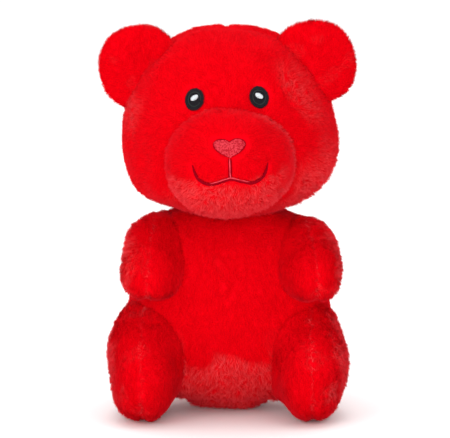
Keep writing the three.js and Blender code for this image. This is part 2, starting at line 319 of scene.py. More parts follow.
def new_mesh(name, points, triangles, materials, material_index=None, normals=None, cells=None):
    """A mesh object made from arrays, smooth shaded, with a UV map that gives each cell its own square."""
    mesh = bpy.data.meshes.new(name)
    mesh.vertices.add(len(points))
    mesh.vertices.foreach_set("co", points.astype(np.float32).ravel())
    mesh.loops.add(triangles.size)
    mesh.loops.foreach_set("vertex_index", triangles.astype(np.int32).ravel())
    mesh.polygons.add(len(triangles))
    mesh.polygons.foreach_set("loop_start", np.arange(0, triangles.size, 3, dtype=np.int32))
    for material in materials:
        mesh.materials.append(material)
    if material_index is not None:
        mesh.polygons.foreach_set("material_index", material_index.astype(np.int32))
    mesh.update(calc_edges=True)
    mesh.polygons.foreach_set("use_smooth", np.ones(len(triangles), bool))
    if cells is not None:
        layer = mesh.uv_layers.new(name="OFBake")
        layer.uv.foreach_set("vector", cell_corners(*cells).astype(np.float32).ravel())
    if normals is not None:
        mesh.normals_split_custom_set_from_vertices(normals)
    piece = bpy.data.objects.new(name, mesh)
    bpy.context.scene.collection.objects.link(piece)
    return piece


def cell_corners(cell, corner):
    """UV of each triangle corner: `cell` is each triangle's square, `corner` its places within that square."""
    across = math.ceil(math.sqrt(cell.max() + 1))
    base = np.stack([cell % across, cell // across], 1)[:, None, :]
    return (base + corner) / across


# ------------ sculpting

FORM_DETAIL = 6
LUMP_LENGTH = 46 * MM
FINE_LUMP_LENGTH = 17 * MM
FINE_LUMP_SHARE = 0.25

# The cloth simulation. Its pressure is too weak against the cloth's stiffness to show: see the opening comment.
SWELL_DETAIL = 4
SWELL_FRAMES = 14
SWELL_CAP = 2.5 * MM
SWELL_BLUR = 0.0016
SWELL_CHUNK = 4000
PINNED_WIDTH = 5 * MM
SWELL_CLOTH = dict(
    quality=4, mass=0.3, tension_stiffness=12, compression_stiffness=12, shear_stiffness=6, bending_stiffness=0.4,
    use_pressure=True, uniform_pressure_force=4.0, vertex_group_mass="seams")


def swelled(points, triangles, pinned):
    """Cloth simulation of a stuffed form, pinned along its seams: how far each point moves."""
    piece = new_mesh("swelling", points, triangles, [])
    group = piece.vertex_groups.new(name="seams")
    group.add([int(i) for i in np.flatnonzero(pinned)], 1.0, "REPLACE")
    cloth = piece.modifiers.new("Cloth", "CLOTH")
    for setting, value in SWELL_CLOTH.items():
        setattr(cloth.settings, setting, value)
    cloth.settings.effector_weights.gravity = 0
    cloth.collision_settings.use_collision = False
    cloth.point_cache.frame_end = SWELL_FRAMES
    for step in range(1, SWELL_FRAMES + 1):
        bpy.context.scene.frame_set(step)
    settled = piece.evaluated_get(bpy.context.evaluated_depsgraph_get()).to_mesh()
    moved = np.zeros(len(points) * 3)
    settled.vertices.foreach_get("co", moved)
    mesh = piece.data
    bpy.data.objects.remove(piece)
    bpy.data.meshes.remove(mesh)
    bpy.context.scene.frame_set(1)
    return moved.reshape(-1, 3) - points


def swelling_at(form, directions, seam_distance):
    """The simulated movement along each direction, from a coarser sphere's points around it."""
    coarse, triangles = sphere(SWELL_DETAIL)
    points = form.world(form.surface(coarse))
    pinned = seam_distance(points) < PINNED_WIDTH
    moved = swelled(points, triangles, pinned)
    normals = vertex_normals(points, triangles)
    amount = np.clip((moved * normals).sum(1), -SWELL_CAP, SWELL_CAP)
    amount -= np.median(amount)
    # each fine point takes the mean of the coarse points around it, nearer ones more
    near = np.zeros(len(directions))
    for start in range(0, len(directions), SWELL_CHUNK):
        part = slice(start, start + SWELL_CHUNK)
        closeness = np.exp((directions[part] @ coarse.T - 1) / SWELL_BLUR)
        near[part] = closeness @ amount / closeness.sum(1)
    return near


class Skin:
    """The closed outer surface of a stuffed form's cloth, before it is cut into panels."""

    def __init__(self, form, detail, seed, seams, features=None, lumps=0.8 * MM, flat_base=None,
                 seam_depth=SEAM_DEPTH):
        directions, self.triangles = sphere(detail)
        points = form.world(form.surface(directions))
        normals = vertex_normals(points, self.triangles)
        distance = seams(points)
        amount = lumps * waves(points, LUMP_LENGTH, seed)
        amount += FINE_LUMP_SHARE * lumps * waves(points, FINE_LUMP_LENGTH, seed + 7)
        amount += swelling_at(form, directions, seams)
        amount -= seam_depth * hump(distance / SEAM_WIDTH)
        if features is not None:
            amount += features(points)
        points = points + normals * amount[:, None]
        if flat_base is not None:
            points[:, 2] = np.maximum(points[:, 2], flat_base)
        self.points = points
        self.normals = vertex_normals(points, self.triangles)
        self.tree = None

    def panel(self, *fields):
        """The part of the skin where every field is above zero: points, normals and triangles."""
        vertices, triangles = np.concatenate([self.points, self.normals], 1), self.triangles
        for field in fields:
            vertices, triangles = clip(vertices, triangles, field(vertices[:, :3]))
        return vertices[:, :3], unit(vertices[:, 3:]), triangles

    def front_point(self, side, up, lift=0.0):
        """The skin's point and normal straight in front of a place on the face."""
        if self.tree is None:
            self.tree = BVHTree.FromPolygons(self.points.tolist(), self.triangles.tolist())
        start = Vector(head_point(side, -0.2, up))
        place, normal, _, _ = self.tree.ray_cast(start, Vector(HEAD_AXES[1]))
        normal = np.array(normal)
        return np.array(place) + normal * lift, normal


# ------------ pile


STRAND_POINTS = 4
SHORTEST_SHARE = 0.12
LENGTH_SPREAD = (0.78, 1.12)
WIDTH_SPREAD = (0.75, 1.25)
LEAN_LIMITS = (math.radians(18), math.radians(82))


def scatter(points, normals, triangles, draw):
    """Evenly spread random places on a surface, with their normals."""
    areas = np.linalg.norm(face_vectors(points, triangles), axis=1) / 2
    total = np.cumsum(areas)
    count = int(total[-1] * PILE_DENSITY)
    picks = np.searchsorted(total, (np.arange(count) + draw.random(count)) / count * total[-1])
    a, b = draw.random((2, count))
    over = a + b > 1
    a[over], b[over] = 1 - a[over], 1 - b[over]
    weights = np.stack([1 - a - b, a, b], 1)[:, :, None]
    chosen = triangles[np.minimum(picks, len(triangles) - 1)]
    return (points[chosen] * weights).sum(1), unit((normals[chosen] * weights).sum(1))


def plush_panel(name, node, surface, comb, ruffle_and_sheen, shorten, hidden, seed):
    """A sewn panel: cloth with a real pile on it. `comb` gives the direction that the pile lies in, `ruffle_and_sheen`
    how far it stands up (0 to 1) and so how much painted sheen its tips get, `shorten` how much of its length it
    keeps, and `hidden` where it needs none."""
    points, normals, triangles = surface
    draw = np.random.default_rng(seed)
    roots, root_normals = scatter(points, normals, triangles, draw)
    keep = ~hidden(roots)
    length_share = shorten(roots)
    keep &= length_share > SHORTEST_SHARE
    roots, root_normals, length_share = roots[keep], root_normals[keep], length_share[keep]
    count = len(roots)

    ruffled = np.clip(ruffle_and_sheen(roots), 0, 1)
    direction = comb(roots) + wave_vectors(roots, 26 * MM, 11) * 0.25
    direction += wave_vectors(roots, 5.5 * MM, 23) * (0.08 + 0.8 * ruffled)[:, None]
    direction += draw.normal(size=(count, 3)) * (0.08 + 0.16 * ruffled)[:, None]
    direction -= root_normals * (direction * root_normals).sum(1)[:, None]
    direction = unit(direction)
    lean = SMOOTH_LEAN + (RUFFLED_LEAN - SMOOTH_LEAN) * ruffled
    lean += (0.03 + 0.22 * ruffled) * waves(roots, CLUMP_LENGTH, 31) + draw.normal(0, 0.04, count)
    lean = np.clip(lean, *LEAN_LIMITS)
    axis = root_normals * np.cos(lean)[:, None] + direction * np.sin(lean)[:, None]
    length = PILE_LENGTH * length_share * draw.uniform(*LENGTH_SPREAD, count)
    tips = roots + axis * length[:, None]

    across = unit(np.cross(axis, root_normals))
    third = np.cross(axis, across)
    turn = draw.uniform(0, 2 * np.pi, count)
    base = roots - root_normals * PILE_ROOT_DEPTH
    half = PILE_WIDTH / 2 * draw.uniform(*WIDTH_SPREAD, count)
    corners = []
    for step in range(3):
        angle = turn + step * 2 * np.pi / 3
        offset = across * np.cos(angle)[:, None] + third * np.sin(angle)[:, None]
        corners.append(base + offset * half[:, None])
    strands = np.stack([*corners, tips], 1)
    strands[:, :, 2] = np.maximum(strands[:, :, 2], FLOOR_CLEARANCE)
    shading = unit(root_normals + 0.25 * axis + 0.12 * draw.normal(size=(count, 3)))

    shell, shell_triangles = thicken(points, normals, triangles, CLOTH_THICKNESS)
    first = len(shell) + np.arange(count)[:, None] * STRAND_POINTS
    sides = np.array([[0, 1, 3], [1, 2, 3], [2, 0, 3], [0, 2, 1]])
    strand_triangles = (first[:, :, None] + sides[None]).reshape(-1, 3)
    all_points = np.concatenate([shell, strands.reshape(-1, 3)])
    all_triangles = np.concatenate([shell_triangles, strand_triangles])
    all_normals = np.concatenate([normals, -normals, np.repeat(shading, STRAND_POINTS, 0)])

    # the UV map gives each cloth triangle a square of its own, and each strand's triangles one square together
    cloth_count = len(shell_triangles)
    cell = np.concatenate([np.arange(cloth_count), cloth_count + np.repeat(np.arange(count), len(sides))])
    strand_places = np.array([[0.15, 0.1], [0.5, 0.1], [0.85, 0.1], [0.5, 0.9]])
    cloth_places = np.array([[0.15, 0.15], [0.85, 0.15], [0.5, 0.85]])
    corner = np.concatenate([
        np.repeat(cloth_places[None], cloth_count, 0), np.tile(strand_places[sides], (count, 1, 1))])
    look = np.concatenate([np.full(cloth_count, 1), np.zeros(len(sides) * count)])
    piece = new_mesh(name, all_points, all_triangles, [pile_material, backing_material], look, all_normals,
                     (cell, corner))
    # painted sheen: where the pile stands up, its tips are painted paler and pinker, unevenly in clumps
    clumps = 0.75 + 0.3 * waves(roots, CLUMP_LENGTH / 2, 37)
    painted_sheen = np.clip(smoothstep(0.22, 0.9, ruffled) * clumps, 0, 1)
    per_point = {
        "along": (0.0, np.tile([0.0, 0.0, 0.0, 1.0], count)),
        "ruffle_and_sheen": (0.0, np.repeat(painted_sheen, STRAND_POINTS)),
        "chance": (0.5, np.repeat(draw.random(count), STRAND_POINTS)),
    }
    for label, (on_cloth, on_strands) in per_point.items():
        layer = piece.data.attributes.new(label, "FLOAT", "POINT")
        values = np.concatenate([np.full(len(shell), on_cloth), on_strands])
        layer.data.foreach_set("value", values.astype(np.float32))
    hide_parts(node)
    return piece


# ------------ materials


class Look:
    """A procedural material: its Principled shader, and the nodes that drive it."""

    def __init__(self, name):
        self.material = bpy.data.materials.new(name)
        self.material.use_nodes = True
        self.tree = self.material.node_tree
        self.shader = self.tree.nodes["Principled BSDF"]

    def feed(self, node, values):
        """Sets a node's sockets to plain values, or links other nodes' outputs to them."""
        for name, value in values.items():
            if isinstance(value, bpy.types.NodeSocket):
                self.tree.links.new(value, node.inputs[name])
            else:
                node.inputs[name].default_value = value

    def node(self, kind, output, values, **settings):
        node = self.tree.nodes.new(f"ShaderNode{kind}")
        for name, value in settings.items():
            setattr(node, name, value)
        self.feed(node, values)
        return node.outputs[output]

    def texture(self, kind, scale, values=(), **settings):
        place = self.node("TexCoord", "Object", {})
        return self.node(kind, "Fac", {"Scale": scale, **dict(values), "Vector": place}, **settings)

    def noise(self, scale, detail=3.0):
        return self.texture("TexNoise", scale, {"Detail": detail})

    def attribute(self, name):
        return self.node("Attribute", "Fac", {}, attribute_name=name)

    def between(self, value, low, high):
        """A number that runs from low to high as the value runs from zero to one."""
        return self.node("MapRange", "Result", {"To Min": low, "To Max": high, "Value": value})

    def mix(self, share, first, second):
        first, second = ((*colour, 1) if isinstance(colour, tuple) else colour for colour in (first, second))
        return self.node("Mix", "Result", {"Factor": share, "A": first, "B": second}, data_type="RGBA")

    def finish(self, colour, roughness, bump=None, **constants):
        """Gives the shader its colour, roughness, constants such as Sheen_Weight, and a bump of (height, strength,
        distance)."""
        self.feed(self.shader, {"Base Color": colour, "Roughness": roughness})
        self.feed(self.shader, {name.replace("_", " "): value for name, value in constants.items()})
        if bump is not None:
            height, strength, distance = bump
            normal = self.node("Bump", "Normal", {"Strength": strength, "Distance": distance, "Height": height})
            self.feed(self.shader, {"Normal": normal})
        return self.material


# painted shade: the root colour is darker than the tip colour, for the shade between the strands
PILE_SHADED_ROOT_COLOUR = (0.72, 0.0, 0.003)
PILE_TIP_COLOUR = (0.79, 0.0, 0.004)
# painted sheen: the pale pink that the tips of standing pile are painted
PILE_RUFFLED_SHEEN_COLOUR = (1.0, 0.09, 0.10)
PILE_PATCH_COLOUR = (0.74, 0.0, 0.008)
PILE_ODD_STRAND_COLOUR = (0.70, 0.0, 0.003)
PILE_SHEEN_TINT = (1.0, 0.03, 0.05, 1)


def make_pile_material():
    """Red fibre: painted shade deepens it at the root, painted sheen makes the tip paler and pinker where the pile
    stands up, and its tone is never quite even.
    """
    look = Look("red_plush_pile")
    along, ruffle_and_sheen, chance = (look.attribute(name) for name in ("along", "ruffle_and_sheen", "chance"))
    pale = look.tree.nodes.new("ShaderNodeMath")
    pale.operation = "MULTIPLY"
    look.tree.links.new(along, pale.inputs[0])
    look.tree.links.new(ruffle_and_sheen, pale.inputs[1])
    # painted shade: each strand darkens from its tip down to its root
    colour = look.mix(along, PILE_SHADED_ROOT_COLOUR, PILE_TIP_COLOUR)
    # painted sheen: the tips of standing pile turn paler and pinker
    colour = look.mix(pale.outputs["Value"], colour, PILE_RUFFLED_SHEEN_COLOUR)
    colour = look.mix(look.between(look.noise(38.0), 0.0, 0.2), colour, PILE_PATCH_COLOUR)
    colour = look.mix(look.between(chance, 0.0, 0.12), colour, PILE_ODD_STRAND_COLOUR)
    return look.finish(colour, look.between(chance, 0.82, 0.96), Specular_IOR_Level=0.01, Sheen_Weight=0.5,
                       Sheen_Roughness=0.45, Sheen_Tint=PILE_SHEEN_TINT)


def make_backing_material():
    """The knitted backing that the pile grows from."""
    look = Look("red_plush_backing")
    knit = look.texture("TexWave", 260.0, {"Distortion": 3.0, "Detail": 2.0})
    worn = look.mix(look.noise(240.0), (0.50, 0.0, 0.003), (0.78, 0.0, 0.006))
    return look.finish(worn, look.between(knit, 0.85, 0.97), (knit, 0.5, 0.3 * MM), Specular_IOR_Level=0.02)


def make_thread_material(name, dark, light, roughness, specular=0.12):
    """Twisted embroidery thread: two plies of slightly different shade, with a satin shine."""
    look = Look(name)
    ply = look.texture("TexWave", 900.0, {"Distortion": 1.5}, bands_direction="DIAGONAL")
    shade = look.noise(900.0)
    return look.finish(look.mix(shade, dark, light), look.between(shade, roughness, roughness + 0.2),
                       (ply, 0.4, 0.12 * MM), Specular_IOR_Level=specular)


def make_fibre_material(name, dark, light, scale):
    """Loose filling or plain cloth: soft, matt and uneven."""
    look = Look(name)
    fluff = look.noise(scale, 6.0)
    return look.finish(look.mix(fluff, dark, light), look.between(fluff, 0.85, 1.0), (fluff, 0.8, 1.0 * MM),
                       Sheen_Weight=0.2)


def make_ribbon_material():
    """Blank satin ribbon: fine warp threads with a slight shine."""
    look = Look("label_ribbon_weave")
    weave = look.texture("TexWave", 700.0, bands_direction="Z")
    return look.finish(look.mix(weave, (0.80, 0.79, 0.76), (0.90, 0.89, 0.86)),
                       look.between(look.noise(300.0), 0.4, 0.6), (weave, 0.3, 0.1 * MM))


pile_material = make_pile_material()
backing_material = make_backing_material()
black_thread, rim_thread, white_thread, rose_thread, deep_rose_thread, dark_red_thread = (
    make_thread_material(f"{name}_thread_satin", *values) for name, *values in (
        ("black", (0.002, 0.002, 0.003), (0.012, 0.010, 0.015), 0.4),
        ("charcoal", (0.012, 0.018, 0.016), (0.045, 0.06, 0.055), 0.4),
        ("white", (0.34, 0.38, 0.41), (0.74, 0.78, 0.80), 0.4, 0.2),
        ("rose", (0.55, 0.015, 0.03), (0.82, 0.08, 0.11), 0.5, 0.06),
        ("deep_rose", (0.36, 0.004, 0.012), (0.55, 0.02, 0.035), 0.55, 0.05),
        # dark red thread: the nose's outline cord, and on the mouth also painted shadow of its groove
        ("groove_shade_and_dark_red", (0.13, 0.0, 0.002), (0.30, 0.0, 0.008), 0.6, 0.02),
    ))
filling_material = make_fibre_material("fibre_filling_fluff", (0.74, 0.73, 0.69), (0.92, 0.91, 0.88), 320.0)
bag_material = make_fibre_material("pellet_bag_cloth", (0.62, 0.60, 0.55), (0.80, 0.78, 0.73), 700.0)
ribbon_material = make_ribbon_material()


# ------------ the face's stitched shapes, as outlines

# Each is a list of (side, up) places from the middle of the neck, in the head's own axes.


def face_place(node):
    return head_coordinates(node_middle(node)[None])[0][[0, 2]]


EYE_HALF_WIDTH = 6.2 * MM
EYE_HALF_HEIGHT = 7.2 * MM
EYE_LEAN = -0.45
SHINE_HALF_WIDTH = 2.7 * MM
SHINE_HALF_HEIGHT = 1.6 * MM


def oval(centre, half_width, half_height, lean, count):
    turn = np.linspace(0, 2 * np.pi, count, endpoint=False)
    flat = np.stack([half_width * np.cos(turn), half_height * np.sin(turn)], 1)
    turned = np.array([[math.cos(lean), math.sin(lean)], [-math.sin(lean), math.cos(lean)]])
    return centre + flat @ turned


def bezier(points, count=10):
    share = np.linspace(0, 1, count)[:, None]
    a, b, c, d = (np.array(p, float) for p in points)
    rest = 1 - share
    return a * rest**3 + 3 * b * rest**2 * share + 3 * c * rest * share**2 + d * share**3


def heart_outline():
    """The nose: a wide heart, point down, as large as the nose's node."""
    low, high = (head_coordinates(np.array([corner]))[0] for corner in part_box("nose_embroidery"))
    half, tall = (high[0] - low[0]) / 2, high[2] - low[2]
    lower = bezier([(0, 0), (half * 0.5, tall * 0.2), (half, tall * 0.45), (half, tall * 0.72)])
    upper = bezier([(half, tall * 0.72), (half, tall), (half * 0.25, tall * 1.08), (0, tall * 0.8)])
    right = np.concatenate([lower, upper[1:]])
    left = right[::-1][1:-1] * np.array([-1, 1])
    return np.concatenate([right, left]) + np.array([(low[0] + high[0]) / 2, low[2]])


def smooth_curve(points, count):
    """A Catmull-Rom curve through points."""
    points = np.array(points, float)
    padded = np.concatenate([2 * points[:1] - points[1:2], points, 2 * points[-1:] - points[-2:-1]])
    pieces = []
    for i in range(1, len(padded) - 2):
        t = np.linspace(0, 1, count, endpoint=False)[:, None]
        a, b, c, d = padded[i - 1: i + 3]
        pieces.append(0.5 * (2 * b + (c - a) * t + (2 * a - 5 * b + 4 * c - d) * t**2
                             + (3 * b - a - 3 * c + d) * t**3))
    return np.concatenate([*pieces, padded[-2:-1]])


MOUTH_MIDDLE = 32.2 * MM
MOUTH_DIP = (13 * MM, 29.4 * MM)
MOUTH_TURN = (20.5 * MM, 33.2 * MM)
MOUTH_END = (23.5 * MM, 41 * MM)

nose_outline = heart_outline()
nose_tip = nose_outline[0]
half_smile = np.array([MOUTH_DIP, MOUTH_TURN, MOUTH_END])
smile_line = smooth_curve([*(half_smile * [-1, 1])[::-1], (0, MOUTH_MIDDLE), *half_smile], 10)
lip_line = np.linspace(nose_tip, (nose_tip[0], MOUTH_MIDDLE), 8)
eye_places = {side: face_place(f"eye_{side}_black") for side in SIDES}


def eye_oval(side, count):
    return oval(eye_places[side], EYE_HALF_WIDTH, EYE_HALF_HEIGHT, -SIDES[side] * EYE_LEAN, count)


eye_outlines = {side: eye_oval(side, 40) for side in SIDES}


def line_distance(places, line, closed=False):
    """How far places lie from a line of points, all in the face's plane."""
    start = line if closed else line[:-1]
    end = np.roll(line, -1, 0) if closed else line[1:]
    step = end - start
    best = np.full(len(places), np.inf)
    for a, d in zip(start, step):
        offset = places - a
        share = np.clip(offset @ d / max(d @ d, 1e-18), 0, 1)
        best = np.minimum(best, np.linalg.norm(offset - share[:, None] * d, axis=1))
    return best


def within(places, outline):
    """Which places lie inside a closed outline."""
    inside = np.zeros(len(places), bool)
    for a, b in zip(outline, np.roll(outline, -1, 0)):
        spans = (a[1] > places[:, 1]) != (b[1] > places[:, 1])
        across = (b[0] - a[0]) * (places[:, 1] - a[1]) / (b[1] - a[1] + 1e-18) + a[0]
        inside ^= spans & (places[:, 0] < across)
    return inside


def patch_distance(places, outline):
    """How far places lie outside a closed outline, and zero inside."""
    return np.where(within(places, outline), 0, line_distance(places, outline, closed=True))


def face_stitch_distance(points):
    """How far points of the face lie from the nearest embroidery."""
    local = head_coordinates(points)
    places = local[:, [0, 2]]
    nearest = np.minimum(patch_distance(places, nose_outline), line_distance(places, smile_line))
    nearest = np.minimum(nearest, line_distance(places, lip_line))
    for outline in eye_outlines.values():
        nearest = np.minimum(nearest, patch_distance(places, outline))
    return np.where(local[:, 1] < head_middle[1], nearest, 1.0)


# ------------ thread


class Thread:
    """Collects stitches into one mesh. Each is a closed strand of flattened round section."""

    SECTION = 6

    def __init__(self):
        self.points, self.triangles, self.looks, self.count = [], [], [], 0

    def stitch(self, path, normals, width, height, look=0):
        """A strand along a path on the cloth, its ends pinched where the needle went in."""
        path, normals = np.array(path), unit(np.array(normals))
        steps = len(path)
        along = unit(np.gradient(path, axis=0))
        across = unit(np.cross(normals, along))
        share = np.linspace(-1, 1, steps)
        size = np.maximum(1 - np.abs(share) ** 6, 0.25)
        turn = np.linspace(0, 2 * np.pi, self.SECTION, endpoint=False)
        ring = (across[:, None] * np.cos(turn)[None, :, None] * width / 2
                + normals[:, None] * np.sin(turn)[None, :, None] * height / 2)
        rings = path[:, None] + ring * size[:, None, None]
        points = np.concatenate([rings.reshape(-1, 3), path[:1], path[-1:]])
        i = np.arange(self.SECTION)
        j = (i + 1) % self.SECTION
        faces = []
        for step in range(steps - 1):
            low, high = step * self.SECTION, (step + 1) * self.SECTION
            faces += [np.stack([low + i, low + j, high + j], 1), np.stack([low + i, high + j, high + i], 1)]
        last = (steps - 1) * self.SECTION
        start, end = steps * self.SECTION, steps * self.SECTION + 1
        faces.append(np.stack([j, i, np.full_like(i, start)], 1))
        faces.append(np.stack([last + i, last + j, np.full_like(i, end)], 1))
        faces = np.concatenate(faces)
        # turn the faces outwards, whichever way the section runs
        local = points - points.mean(0)
        if (face_vectors(local, faces) * local[faces[:, 0]]).sum() < 0:
            faces = faces[:, ::-1]
        self.points.append(points)
        self.triangles.append(faces + self.count)
        self.looks.append(np.full(len(faces), look))
        self.count += len(points)

    def piece(self, name, materials, node, slot):
        made = new_mesh(name, np.concatenate(self.points), np.concatenate(self.triangles), materials,
                        np.concatenate(self.looks))
        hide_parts(node)
        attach(made, "head")


THREAD_WIDTH = 0.5 * MM
THREAD_HEIGHT = 0.42 * MM
STITCH_SPACING = 0.42 * MM
RIM_STITCHES = 74
RIM_START = 0.62
SHINE_SPACING = 0.36 * MM
SHINE_LEAN = math.radians(-26)
NOSE_ROW_ANGLE = math.radians(8)
NOSE_ROW_SPACING = 0.5 * MM
NOSE_STITCH_STEP = 0.62 * MM
NOSE_STITCH_HALF = 0.5 * MM
NOSE_DEEP_SHARE = 0.4


def sewn(thread, skin, start, end, crown, width=THREAD_WIDTH, lift=0.3 * MM, steps=6, look=0):
    """One straight stitch between two places on the face, crowned in its middle."""
    path, normals = [], []
    for share in np.linspace(0, 1, steps):
        side, up = start + (end - start) * share
        point, normal = skin.front_point(side, up, lift + crown * 4 * share * (1 - share))
        path.append(point)
        normals.append(normal)
    thread.stitch(path, normals, width, THREAD_HEIGHT, look)


def sewn_line(thread, skin, line, width, height, lift, look=0, closed=False):
    """A cord laid along a line on the face."""
    places = np.concatenate([line, line[:2]]) if closed else line
    found = [skin.front_point(side, up, lift) for side, up in places]
    thread.stitch([p for p, _ in found], [n for _, n in found], width, height, look)


def rows_inside(outline, angle, spacing):
    """Parallel stitch rows that fill an outline: pairs of ends."""
    centre = outline.mean(0)
    along = np.array([math.cos(angle), math.sin(angle)])
    across = np.array([-along[1], along[0]])
    reach = np.abs((outline - centre) @ across).max()
    rows = []
    for offset in np.arange(-reach + spacing / 2, reach, spacing):
        crossings = []
        for a, b in zip(outline, np.roll(outline, -1, 0)):
            da, db = (a - centre) @ across - offset, (b - centre) @ across - offset
            if (da > 0) != (db > 0):
                crossings.append(((a + (b - a) * da / (da - db)) - centre) @ along)
        crossings.sort()
        for low, high in zip(crossings[::2], crossings[1::2]):
            if high - low > 2 * spacing:
                rows.append((centre + across * offset + along * low, centre + across * offset + along * high))
    return rows


def embroider_eye(side, skin, draw):
    """A dark oval: upright fill, a cord around it, and a rim of short stitches, with a pale shine on top."""
    sign = SIDES[side]
    centre = eye_places[side]
    thread = Thread()
    core = centre + (eye_outlines[side] - centre) * 0.9
    for start, end in rows_inside(core, math.pi / 2 + EYE_LEAN * sign, STITCH_SPACING):
        sewn(thread, skin, start, end, 0.25 * MM, lift=0.45 * MM)
    for place in eye_oval(side, RIM_STITCHES) - centre:
        jitter = draw.uniform(0.98, 1.03)
        sewn(thread, skin, centre + place * RIM_START, centre + place * jitter, 0.3 * MM, width=0.62 * MM,
             lift=0.6 * MM, steps=5)
    ring = centre + (eye_oval(side, 48) - centre) * RIM_START
    sewn_line(thread, skin, ring, 0.42 * MM, 0.4 * MM, 0.95 * MM, look=1, closed=True)
    thread.piece(f"eye_{side}_thread", [black_thread, rim_thread], f"eye_{side}_black", "black_thread")

    shine = Thread()
    lean = SHINE_LEAN * sign
    glint = oval(face_place(f"eye_{side}_white"), SHINE_HALF_WIDTH, SHINE_HALF_HEIGHT, lean, 40)
    for start, end in rows_inside(glint, -lean, SHINE_SPACING):
        sewn(shine, skin, start, end, 0.25 * MM, width=0.46 * MM, lift=1.15 * MM)
    shine.piece(f"eye_{side}_shine", [white_thread], f"eye_{side}_white", "white_thread")


def embroider_nose(skin, draw):
    """A heart filled with short stitches of two shades at uneven angles, inside a cord of darker thread."""
    thread = Thread()
    middle = nose_outline.mean(0)
    heart = middle + (nose_outline - middle) * 0.94
    for start, end in rows_inside(heart, NOSE_ROW_ANGLE, NOSE_ROW_SPACING):
        length = np.linalg.norm(end - start)
        direction = (end - start) / length
        aside = np.array([-direction[1], direction[0]])
        for along in np.arange(draw.uniform(0.1, 0.6) * MM, length, NOSE_STITCH_STEP):
            tilt = draw.uniform(-0.9, 0.9)
            half = NOSE_STITCH_HALF * (direction * math.cos(tilt) + aside * math.sin(tilt))
            place = start + direction * along
            sewn(thread, skin, place - half, place + half, 0.2 * MM, lift=draw.uniform(0.5, 0.8) * MM, steps=4,
                 look=2 if draw.random() < NOSE_DEEP_SHARE else 0)
    sewn_line(thread, skin, heart, 1.1 * MM, 0.7 * MM, 0.6 * MM, look=1, closed=True)
    thread.piece("nose_thread", [rose_thread, dark_red_thread, deep_rose_thread], "nose_embroidery", "rose_thread")


def embroider_mouth(skin):
    """The line under the nose and the smile: dark cords, each with a lighter one, which on the smile runs along the
    upper side of its middle. The two outer dark cords of the line under the nose are painted shadow of the crease
    beside the stitch; the smile's wide dark cord is dark thread and also painted shadow of its groove."""
    thread = Thread()
    # painted shadow: two dark cords on either side of the lighter thread stand for the crease that the stitch pulls
    # into the pile
    for offset in (-0.95 * MM, 0.95 * MM):
        sewn_line(thread, skin, lip_line + np.array([offset, 0]), 0.9 * MM, 0.6 * MM, 0.7 * MM)
    sewn_line(thread, skin, lip_line, 1.0 * MM, 0.7 * MM, 0.8 * MM, look=1)
    slope = unit(np.gradient(smile_line, axis=0))
    upwards = np.stack([-slope[:, 1], slope[:, 0]], 1)
    # dark thread that also serves as painted shadow of the smile's groove
    sewn_line(thread, skin, smile_line - upwards * 0.35 * MM, 2.1 * MM, 0.9 * MM, 0.8 * MM)
    end = len(smile_line) // 3
    sewn_line(thread, skin, (smile_line + upwards * 0.75 * MM)[end:-end], 0.8 * MM, 0.6 * MM, 0.9 * MM, look=1)
    thread.piece("mouth_thread", [dark_red_thread, rose_thread], "mouth_embroidery", "dark_red_thread")


# ------------ combing


def down(points):
    return np.tile([0.0, 0.0, -1.0], (len(points), 1))


def flipped(field):
    return lambda points: -field(points)


def rise_towards(form, points):
    """Where cloth is sewn to another form, it rises towards it, so that the two meet in a soft fold."""
    return RISE * hump(form.outside(points) / RISE_WIDTH)


def seam_shortening(seams):
    """The pile is shorter beside a seam."""
    return lambda points: 0.72 + 0.28 * smoothstep(0, SHORT_PILE_WIDTH, seams(points))


def deep_inside(points, forms, depth=HIDDEN_DEPTH):
    """Where points lie deep inside any of the forms, so that no pile is needed there."""
    return np.any([form.outside(points) < -depth for form in forms], axis=0)


# ------------ torso

side_seam = belly_high.y
base_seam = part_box("base_panel")[1].z
back_seam = torso_form.centre[0]


def torso_seams(points):
    around = np.abs(points[:, 1] - side_seam)
    behind = np.where(points[:, 1] > side_seam, np.abs(points[:, 0] - back_seam), 1.0)
    under = np.abs(points[:, 2] - base_seam)
    return np.minimum(np.minimum(around, behind), under)


def torso_features(points):
    """The belly is fuller low down and overhangs the base seam, and the cloth rises to meet each arm and leg."""
    local = torso_form.local(points)
    belly = hump(local[:, 0] / (38 * MM), (local[:, 2] + 18 * MM) / (34 * MM))
    undercut = BASE_SEAM_DEPTH * hump((points[:, 2] - base_seam) / SEAM_WIDTH)
    fullness = 1.2 * MM * belly * (local[:, 1] < 0)
    return fullness - undercut + sum(rise_towards(form, points) for form in limb_forms)


def limb_forms_of(kind, middle, tip, shape):
    return {side: limb_form(joint_place(f"{kind}_{side}_swing"), middle, tip, shape, sign)
            for side, sign in SIDES.items()}


arm_forms = limb_forms_of("arm", ARM_MIDDLE, ARM_TIP, ARM)
leg_forms = limb_forms_of("leg", LEG_MIDDLE, LEG_TIP, LEG)
limb_forms = [*arm_forms.values(), *leg_forms.values()]


